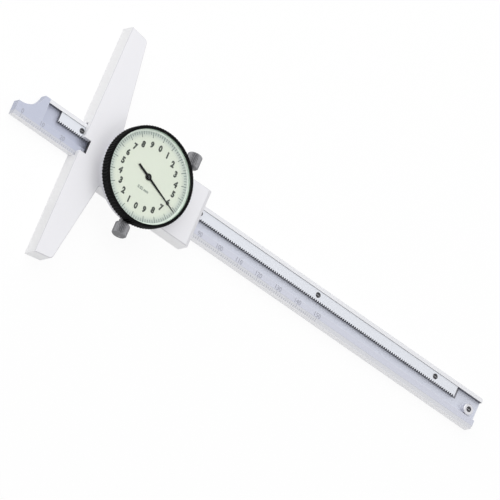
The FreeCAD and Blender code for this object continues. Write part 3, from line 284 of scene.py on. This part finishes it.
rackLook = looking(
    colour=(0.77, 0.792, 0.845, 1), grain=(140, 3000, 3000), roughness=0.5, metallic=0.45,
    wallColour=(0.16, 0.16, 0.18, 1), topFrom=0.6, topTo=0.3)


# Painted shade: dark on the walls and teeth, bright on the ground top.
def rackColours(tree):
    upright = mathNode(tree, "ABSOLUTE", facing(tree, 2))
    return mixColour(tree, ramp(tree, upright, rackLook["topFrom"], rackLook["topTo"]),
                     rackLook["colour"], rackLook["wallColour"])


baseLook = looking(
    colour=(0.862, 0.86, 0.89, 1), metallic=0.4, roughness=0.55, edgeShare=0.05,
    wallColour=(0.012, 0.012, 0.014, 1), chamferColour=(0.72, 0.72, 0.745, 1),
    sideColour=(0.955, 0.955, 0.965, 1), sideFrom=-0.85, sideTo=-0.97, notchX=-26.0 * mm,
    notchFar=0.3 * mm, notchNear=0.2 * mm, flatFrom=0.95, flatTo=0.85, steepFrom=0.2, steepTo=0.5)


# Plain satin, with painted shade on the chamfers against their highlight, painted light on the two sides
# facing −X and −Y, and a painted shadow on the wall at the reading notch.
def baseColours(tree):
    along = addNode(tree, "ShaderNodeSeparateXYZ", Vector=objectPlace(tree)).outputs[0]
    away = mathNode(tree, "ABSOLUTE", mathNode(tree, "SUBTRACT", along, baseLook["notchX"]))
    front = ramp(tree, facing(tree, 0), baseLook["sideFrom"], baseLook["sideTo"])
    # painted shadow on the notch's wall facing −X
    wall = mathNode(tree, "MULTIPLY", front, ramp(
        tree, away, baseLook["notchFar"], baseLook["notchNear"]))
    # painted light on the sides facing −X and −Y
    side = mathNode(tree, "MAXIMUM", front, ramp(
        tree, facing(tree, 1), baseLook["sideFrom"], baseLook["sideTo"]))
    upright = mathNode(tree, "ABSOLUTE", facing(tree, 2))
    chamfer = mathNode(tree, "MULTIPLY", ramp(tree, upright, baseLook["flatFrom"], baseLook["flatTo"]),
                       ramp(tree, upright, baseLook["steepFrom"], baseLook["steepTo"]))
    plain = mixColour(tree, chamfer, baseLook["colour"], baseLook["chamferColour"])
    plain = mixColour(tree, side, plain, baseLook["sideColour"])
    return mixColour(tree, wall, plain, baseLook["wallColour"])


screwLook = looking(
    colour=(0.05, 0.05, 0.055, 1), grain=(900, 900, 900), roughness=0.42, metallic=0.7, gloss=0.3,
    edgeColour=(0.36, 0.36, 0.38, 1), edgeShare=0.35, slotColour=(0.90, 0.90, 0.92, 1),
    slotFrom=0.1 * mm, slotTo=0.2 * mm, flatFrom=0.6, flatTo=0.8, rackScrewTop=4.6 * mm,
    stopScrewTop=5.55 * mm)


# Dark head with a slot that is bright on its floor: below the head's top and facing up.
def screwColours(top):
    def colours(tree):
        up = addNode(tree, "ShaderNodeSeparateXYZ", Vector=objectPlace(tree)).outputs[2]
        deep = ramp(tree, up, top - screwLook["slotFrom"], top - screwLook["slotTo"])
        level = ramp(tree, facing(tree, 2), screwLook["flatFrom"], screwLook["flatTo"])
        bright = mathNode(tree, "MULTIPLY", deep, level)
        return mixColour(tree, bright, screwLook["colour"], screwLook["slotColour"])
    return colours


finishes = {
    "satinChrome": metalFinish("satinChrome", looking(metallic=0.4, roughness=0.55)),
    "satinBase": metalFinish("satinBase", baseLook, baseColours),
    "groundBeam": metalFinish("groundBeam", beamLook, beamColours),
    "groundRack": metalFinish("groundRack", rackLook, rackColours),
    "groundCollar": metalFinish("groundCollar", looking(
        colour=(0.68, 0.68, 0.72, 1), grain=(2000, 2000, 300), roughness=0.34)),
    "darkScrew": metalFinish("darkScrew", screwLook),
    "rackScrew": metalFinish("rackScrew", screwLook, screwColours(screwLook["rackScrewTop"])),
    "stopScrew": metalFinish("stopScrew", screwLook, screwColours(screwLook["stopScrewTop"])),
    "knobSteel": metalFinish("knobSteel", looking(
        colour=(0.17, 0.17, 0.178, 1), grain=(900, 900, 900), contrast=0.5, roughness=0.40,
        metallic=0.9, edgeColour=(0.52, 0.52, 0.54, 1), edgeShare=0.75, smudge=0.6)),
    "turnedAluminium": metalFinish("turnedAluminium", looking(
        colour=(0.62, 0.62, 0.64, 1), grain=(300, 300, 4200), roughness=0.34, metallic=1.0)),
    "springSteel": metalFinish("springSteel", looking(
        colour=(0.36, 0.38, 0.44, 1), grain=(800, 800, 5000), roughness=0.30, metallic=1.0)),
    "wheelBrass": metalFinish("wheelBrass", looking(
        colour=(0.60, 0.42, 0.16, 1), grain=(2400, 200, 2400), roughness=0.30, metallic=1.0,
        edgeColour=(0.85, 0.68, 0.36, 1))),
    "gibBronze": metalFinish("gibBronze", looking(
        colour=(0.50, 0.29, 0.14, 1), grain=(160, 3000, 3000), roughness=0.38, metallic=1.0,
        edgeColour=(0.78, 0.52, 0.30, 1))),
    "blackBezel": metalFinish("blackBezel", looking(
        colour=(0.004, 0.004, 0.0045, 1), grain=(700, 700, 4500), roughness=0.42, metallic=0.0,
        streak=0.3, edgeColour=(0.03, 0.03, 0.033, 1), edgeShare=0.3, edgeWidth=0.10 * mm,
        smudge=0.4, gloss=0.05)),
    "blackPointer": metalFinish("blackPointer", looking(
        colour=(0.003, 0.003, 0.0035, 1), grain=(1800, 1800, 1800), roughness=0.5, metallic=0.0,
        edgeColour=(0.03, 0.03, 0.03, 1), edgeShare=0.2, edgeWidth=0.05 * mm, gloss=0.06)),
}
print("metals made:", len(finishes))

# Dial paint: pale green enamel with painted shade of the bezel deepening it towards the rim, a thin
# painted highlight ring at its edge, and a fine eggshell texture
dialLook = {"middle": (0.605, 0.635, 0.558, 1), "rim": (0.47, 0.516, 0.488, 1),
            "edge": (0.73, 0.775, 0.73, 1), "rimStart": 14.6 * mm, "rimEnd": 17.2 * mm,
            "edgeStart": 17.5 * mm, "edgeEnd": 17.7 * mm, "roughness": 0.6, "cloudRough": 0.08,
            "speckle": 0.05, "speckleColour": (0.40, 0.45, 0.40, 1), "fineSize": 2500.0,
            "cloudSize": 160.0, "detail": 2.0, "depth": 0.003 * mm, "bump": 0.4, "gloss": 0.2}


# Base colour follows the distance from the pointer's axis; two noises give speckle and height.
def dialFinish():
    material, tree, surface = newMaterial("dialEnamel")
    place = objectPlace(tree)
    flat = addNode(tree, "ShaderNodeVectorMath", i0=place, i1=(1, 1, 0))
    flat.operation = "MULTIPLY"
    reach = addNode(tree, "ShaderNodeVectorMath", i0=flat.outputs[0])
    reach.operation = "LENGTH"
    rim = ramp(tree, reach.outputs["Value"], dialLook["rimStart"], dialLook["rimEnd"])
    fine = noiseNode(tree, place, dialLook["fineSize"], dialLook["detail"])
    cloud = noiseNode(tree, place, dialLook["cloudSize"], dialLook["detail"])
    # painted shade of the bezel towards the rim
    paint = mixColour(tree, rim, dialLook["middle"], dialLook["rim"])
    # a thin painted highlight ring at the dial's edge
    edge = ramp(tree, reach.outputs["Value"], dialLook["edgeStart"], dialLook["edgeEnd"])
    paint = mixColour(tree, edge, paint, dialLook["edge"])
    shade = mathNode(tree, "MULTIPLY", mathNode(tree, "ADD", fine, cloud), dialLook["speckle"])
    tree.links.new(mixColour(tree, shade, paint, dialLook["speckleColour"]), surface.inputs["Base Color"])
    tree.links.new(mathNode(tree, "MULTIPLY_ADD", cloud, dialLook["cloudRough"], dialLook["roughness"]),
                   surface.inputs["Roughness"])
    addBump(tree, surface, fine, dialLook["depth"], dialLook["bump"])
    surface.inputs["Specular IOR Level"].default_value = dialLook["gloss"]
    return material


# Crystal: clear plastic with hair scratches in its gloss; lamps pass through it
crystalLook = {"colour": (0.985, 0.995, 0.985, 1), "roughness": 0.015, "ior": 1.2, "markSize": 140.0,
               "marks": 0.4, "scratchRough": 0.12}


def crystalFinish():
    material, tree, surface = newMaterial("crystalClear")
    surface.inputs["Base Color"].default_value = crystalLook["colour"]
    surface.inputs["Transmission Weight"].default_value = 1.0
    surface.inputs["IOR"].default_value = crystalLook["ior"]
    marks = useGroup(tree, handlingGroup, Size=crystalLook["markSize"], Amount=crystalLook["marks"])
    rough = mathNode(tree, "MULTIPLY_ADD", marks["Scratch"], crystalLook["scratchRough"],
                     crystalLook["roughness"])
    tree.links.new(rough, surface.inputs["Roughness"])
    through = addNode(tree, "ShaderNodeBsdfTransparent", Color=crystalLook["colour"])
    path = addNode(tree, "ShaderNodeLightPath")
    both = addNode(tree, "ShaderNodeMixShader", i0=path.outputs["Is Shadow Ray"],
                   i1=surface.outputs[0], i2=through.outputs[0])
    tree.links.new(both.outputs[0], tree.nodes["Material Output"].inputs["Surface"])
    return material


plainLook = {"size": 1800.0, "detail": 3.0, "lighter": 1.35, "lift": 0.01, "roughSwing": 0.1,
             "depth": 0.004 * mm, "bump": 0.5}


# A matt paint, ink or moulding: speckled colour and a grainy height.
def plainFinish(name, colour, roughness, speckle):
    material, tree, surface = newMaterial(name)
    noise = noiseNode(tree, objectPlace(tree), plainLook["size"], plainLook["detail"])
    lighter = [min(1, c * plainLook["lighter"] + plainLook["lift"]) for c in colour[:3]] + [1]
    tree.links.new(mixColour(tree, mathNode(tree, "MULTIPLY", noise, speckle), colour, lighter),
                   surface.inputs["Base Color"])
    rough = mathNode(tree, "MULTIPLY_ADD", noise, plainLook["roughSwing"],
                     roughness - plainLook["roughSwing"] / 2)
    tree.links.new(rough, surface.inputs["Roughness"])
    addBump(tree, surface, noise, plainLook["depth"], plainLook["bump"])
    return material


finishes["dialEnamel"] = dialFinish()
finishes["crystalClear"] = crystalFinish()
finishes["spacerMoulding"] = plainFinish("spacerMoulding", (0.60, 0.70, 0.62, 1), 0.55, 0.15)
finishes["dialInk"] = plainFinish("dialInk", (0.028, 0.034, 0.028, 1), 0.6, 0.4)
finishes["tickInk"] = plainFinish("tickInk", (0.06, 0.09, 0.085, 1), 0.6, 0.4)
finishes["scaleInk"] = plainFinish("scaleInk", (0.34, 0.35, 0.40, 1), 0.6, 0.5)

nodeFinish = {
    "satinBase": ["base_frame"],
    "satinChrome": ["back_plate", "dial_case"],
    "groundBeam": ["beam"],
    "groundRack": ["rack"],
    "groundCollar": ["beam_stop_collar"],
    "rackScrew": ["rack_screws"],
    "stopScrew": ["beam_stop_screw"],
    "darkScrew": ["gib_screws", "back_plate_screws", "movement_screws", "bridge_screws",
                  "centre_arbor"],
    "knobSteel": ["lock_screw", "bezel_clamp_screw", "bezel_clamp_shoe"],
    "turnedAluminium": ["movement_pillars", "rack_pinion", "take_up_arbor"],
    "springSteel": ["hairspring", "bezel_snap_ring", "dial_retaining_ring"],
    "wheelBrass": ["movement_plate", "bridge_plate", "drive_gear", "take_up_gear", "hairspring_collet",
                   "hairspring_stud"],
    "gibBronze": ["gib_strip", "pivot_bushes"],
    "dialEnamel": ["dial_face"],
    "spacerMoulding": ["dial_spacer_ring"],
    "crystalClear": ["crystal"],
    "blackBezel": ["bezel_ring"],
    "blackPointer": ["pointer", "pointer_hub"],
}
dressed = 0
for finish, names in nodeFinish.items():
    for name in names:
        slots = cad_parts[name].data.materials
        slots.clear()
        slots.append(finishes[finish])
        dressed += 1
print("nodes dressed:", dressed, "of", len(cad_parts))


# A piece with one finish, on the body that carries it and in the slot that it's recoloured with.
def addPiece(name, points, faces, body, finish):
    mesh = bpy.data.meshes.new(name)
    mesh.from_pydata(points.tolist(), [], faces.tolist())
    mesh.update()
    piece = bpy.data.objects.new(name, mesh)
    scene.collection.objects.link(piece)
    mesh.materials.append(finishes[finish])
    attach(piece, body)


# Thin boxes from start to end points: each end is moved sideways by half a width and up by the thickness.
# Four corners below and four above for each bar, joined by six faces.
def bars(starts, ends, widths, thickness, up):
    starts, ends, up = np.asarray(starts, float), np.asarray(ends, float), np.asarray(up, float)
    along = ends - starts
    along /= np.linalg.norm(along, axis=1)[:, None]
    side = np.cross(up, along) * (np.asarray(widths, float) / 2)[:, None]
    low = np.stack([starts - side, ends - side, ends + side, starts + side], axis=1)
    corners = np.concatenate([low, low + up * thickness], axis=1)
    box = np.array([[3, 2, 1, 0], [4, 5, 6, 7], [0, 1, 5, 4], [1, 2, 6, 5], [2, 3, 7, 6], [3, 0, 4, 7]])
    faces = (box[None] + 8 * np.arange(len(starts))[:, None, None]).reshape(-1, 4)
    return corners.reshape(-1, 3), faces


lettering = {"squeeze": 0.85, "curveSteps": 3, "draftThickness": 0.02}


# Each word as a solid letter mesh of that height, with its middle at its place, all joined into one. The
# word is drawn one unit high, scaled to its height and squeezed across, and its upper points are lifted.
def numberMeshes(words, height, thickness, places, boldness):
    points, faces, offset = [], [], 0
    for word, place in zip(words, places):
        curve = bpy.data.curves.new("word", "FONT")
        curve.body, curve.align_x, curve.align_y = word, "CENTER", "CENTER"
        curve.extrude, curve.resolution_u = lettering["draftThickness"], lettering["curveSteps"]
        curve.size, curve.offset = 1.0, boldness
        holder = bpy.data.objects.new("word", curve)
        scene.collection.objects.link(holder)
        bpy.context.view_layer.update()
        drawn = holder.evaluated_get(bpy.context.evaluated_depsgraph_get())
        flat = bpy.data.meshes.new_from_object(drawn)
        spots = np.empty(len(flat.vertices) * 3)
        flat.vertices.foreach_get("co", spots)
        spots = spots.reshape(-1, 3)
        middle = (spots.max(0) + spots.min(0)) / 2
        tall = spots[:, 1].max() - spots[:, 1].min()
        flatScale = np.array([lettering["squeeze"], 1, 0]) * height / tall
        spots = (spots - middle) * flatScale + np.outer(spots[:, 2] > 0, (0, 0, thickness))
        points.append(spots + np.asarray(place))
        faces += [[offset + v for v in face.vertices] for face in flat.polygons]
        offset += len(spots)
        bpy.data.objects.remove(holder)
    return np.concatenate(points), np.array(faces, dtype=object)


# Dial numerals and ticks: 100 parts of a turn, clockwise from the top and numbered 0 to 9 twice round,
# with what one part is worth under the hub
dial = {"face": 11.35 * mm, "ink": 0.012 * mm, "numbers": 20, "numberCircle": 12.6 * mm,
        "numberHeight": 2.8 * mm, "boldness": 0.065, "parts": 100, "outer": 17.5 * mm,
        "longEach": 5, "longStart": 15.2 * mm, "shortStart": 16.3 * mm, "longWidth": 0.24 * mm,
        "shortWidth": 0.18 * mm, "value": "0.02 mm", "valueY": -5.3 * mm, "valueHeight": 1.3 * mm,
        "valueBoldness": 0.02}

angle = pi / 2 - 2 * pi * np.arange(dial["numbers"]) / dial["numbers"]
middles = np.stack([dial["numberCircle"] * np.cos(angle), dial["numberCircle"] * np.sin(angle),
                    np.full(dial["numbers"], dial["face"])], axis=1)
points, faces = numberMeshes([str(n % 10) for n in range(dial["numbers"])], dial["numberHeight"],
                             dial["ink"], middles, dial["boldness"])
addPiece("dial_numerals", points, faces, "bezel", "dialInk")

count = np.arange(dial["parts"])
angle = pi / 2 - 2 * pi * count / dial["parts"]
isLong = count % dial["longEach"] == 0
inner = np.where(isLong, dial["longStart"], dial["shortStart"])
ray = np.stack([np.cos(angle), np.sin(angle), np.zeros(dial["parts"])], axis=1)
height = np.array([0, 0, dial["face"]])
points, faces = bars(ray * inner[:, None] + height, ray * dial["outer"] + height,
                     np.where(isLong, dial["longWidth"], dial["shortWidth"]), dial["ink"], (0, 0, 1))
addPiece("dial_ticks", points, faces, "bezel", "tickInk")

points, faces = numberMeshes([dial["value"]], dial["valueHeight"], dial["ink"],
                             [(0, dial["valueY"], dial["face"])], dial["valueBoldness"])
addPiece("dial_part_value", points, faces, "bezel", "tickInk")
print("dial printed")

# Beam scale: a mark each millimetre, a number each ten
scale = {"zero": -56.62 * mm, "last": 150, "top": 4.85 * mm, "ink": 0.01 * mm, "lowEdge": -6.72 * mm,
         "bevelTop": -5.2 * mm, "bevelSlope": 0.35 / 1.6, "longEnd": -5.25 * mm, "middleEnd": -5.6 * mm,
         "shortEnd": -5.9 * mm, "width": 0.14 * mm, "numberY": -4.02 * mm, "numberHeight": 1.9 * mm,
         "boldness": 0.0}

count = np.arange(scale["last"] + 1)
along = scale["zero"] + count * mm
upper = np.where(count % 10 == 0, scale["longEnd"], np.where(count % 5 == 0, scale["middleEnd"],
                                                             scale["shortEnd"]))


# Points on the bevel: they sink by its slope times their distance from its upper edge.
def onBevel(along, across):
    height = scale["top"] - (scale["bevelTop"] - across) * scale["bevelSlope"]
    return np.stack([along, across, height], axis=1)


lean = np.array([0, -scale["bevelSlope"], 1]) / np.hypot(1, scale["bevelSlope"])
points, faces = bars(onBevel(along, np.full(len(along), scale["lowEdge"])), onBevel(along, upper),
                     np.full(len(along), scale["width"]), scale["ink"], lean)
addPiece("beam_scale_ticks", points, faces, "beam", "scaleInk")

tens = np.arange(0, scale["last"] + 1, 10)
places = np.stack([scale["zero"] + tens * mm, np.full(len(tens), scale["numberY"]),
                   np.full(len(tens), scale["top"])], axis=1)
points, faces = numberMeshes([str(n) for n in tens], scale["numberHeight"], scale["ink"], places,
                             scale["boldness"])
addPiece("beam_scale_numerals", points, faces, "beam", "scaleInk")
print("beam scale printed")

# Floor: pale and one-sided, so that the back can be seen from below
floorLook = {"half": 3.0, "drop": 0.02 * mm, "colour": (0.95, 0.95, 0.95, 1),
             "cloud": (0.85, 0.85, 0.85, 1), "cloudShare": 0.04, "cloudSize": 60.0, "detail": 3.0,
             "roughness": 0.9, "glow": 0.88, "white": 1.03}


# What is seen of the floor is mostly plain white, so only the object's shadow darkens it.
def floorFinish():
    material, tree, surface = newMaterial("paleFloor")
    noise = noiseNode(tree, objectPlace(tree), floorLook["cloudSize"], floorLook["detail"])
    cloud = mathNode(tree, "MULTIPLY", noise, floorLook["cloudShare"])
    paint = mixColour(tree, cloud, floorLook["colour"], floorLook["cloud"])
    tree.links.new(paint, surface.inputs["Base Color"])
    surface.inputs["Roughness"].default_value = floorLook["roughness"]
    surface.inputs["Specular IOR Level"].default_value = 0.0
    white = addNode(tree, "ShaderNodeEmission", Color=(1, 1, 1, 1), Strength=floorLook["white"])
    share = mathNode(tree, "MULTIPLY", seenRay(tree), floorLook["glow"])
    lit = addNode(tree, "ShaderNodeMixShader", i0=share, i1=surface.outputs[0], i2=white.outputs[0])
    under = addNode(tree, "ShaderNodeNewGeometry").outputs["Backfacing"]
    clear = addNode(tree, "ShaderNodeBsdfTransparent")
    both = addNode(tree, "ShaderNodeMixShader", i0=under, i1=lit.outputs[0], i2=clear.outputs[0])
    tree.links.new(both.outputs[0], tree.nodes["Material Output"].inputs["Surface"])
    return material


half = floorLook["half"]
floorMesh = bpy.data.meshes.new("floor")
corners = ((-half, -half), (half, -half), (half, half), (-half, half))
floorMesh.from_pydata([(x, y, -floorLook["drop"]) for x, y in corners], [], [(0, 1, 2, 3)])
floor = bpy.data.objects.new("floor", floorMesh)
scene.collection.objects.link(floor)
floorMesh.materials.append(floorFinish())

# Light: a broad lamp up on the photograph's left, a weaker one opposite, and an even surround
lamps = {
    "key": {"towards": (-0.50, 0.60, 0.85), "away": 0.9, "size": 1.6, "power": 5.8},
    "fill": {"towards": (0.75, -0.30, 0.80), "away": 1.1, "size": 0.9, "power": 1.3},
}
lampTarget = (0.03, 0, 0)
surround = {"ambient": 0.42, "seen": 1.0}

for name, lamp in lamps.items():
    light = bpy.data.lights.new(name, "AREA")
    light.shape, light.size, light.energy = "DISK", lamp["size"], lamp["power"]
    holder = bpy.data.objects.new(name, light)
    scene.collection.objects.link(holder)
    aim = Vector(lamp["towards"]).normalized()
    holder.location = Vector(lampTarget) + aim * lamp["away"]
    holder.rotation_mode = "QUATERNION"
    holder.rotation_quaternion = aim.to_track_quat("Z", "Y")

world = bpy.data.worlds.new("studio")
world.use_nodes = True
scene.world = world
tree = world.node_tree
background = tree.nodes["Background"]
background.inputs["Color"].default_value = (1, 1, 1, 1)
tree.links.new(ramp(tree, seenRay(tree), 0, 1, surround["ambient"], surround["seen"]),
               background.inputs["Strength"])
scene.view_settings.view_transform = "Standard"

# Camera: a long lens, tilted off the dial's axis as the photograph's oval dial asks
camera = {"right": (0.7415, 0.3696, 0.56), "down": (0.5127, -0.8495, -0.124), "lens": 1600.0,
          "sensor": 36.0, "pixelsPerMetre": 2648.0, "anchor": (0, 0, 0.0080),
          "anchorPixel": (143.1, 178.2), "frame": 500, "clipStart": 0.1, "clipEnd": 40.0}


# The lens is so long that a point's pixel is near enough its distance along right and down, times the
# scale. The middle of the view is the point that lies as far from the anchor as the middle pixel does.
def addCamera():
    right, down = Vector(camera["right"]).normalized(), Vector(camera["down"])
    down = (down - right * down.dot(right)).normalized()
    ahead = right.cross(down)
    data = bpy.data.cameras.new("camera")
    data.lens, data.sensor_width = camera["lens"], camera["sensor"]
    wide = camera["frame"] / camera["pixelsPerMetre"]
    distance = wide * data.lens / data.sensor_width
    offset = [(camera["frame"] / 2 - p) / camera["pixelsPerMetre"] for p in camera["anchorPixel"]]
    middle = Vector(camera["anchor"]) + right * offset[0] + down * offset[1]
    holder = bpy.data.objects.new("camera", data)
    scene.collection.objects.link(holder)
    holder.matrix_world = Matrix.Translation(middle - ahead * distance) @ Matrix(
        (right, -down, -ahead)).transposed().to_4x4()
    data.clip_start, data.clip_end = camera["clipStart"], camera["clipEnd"]
    scene.camera = holder


addCamera()
print("stage set")
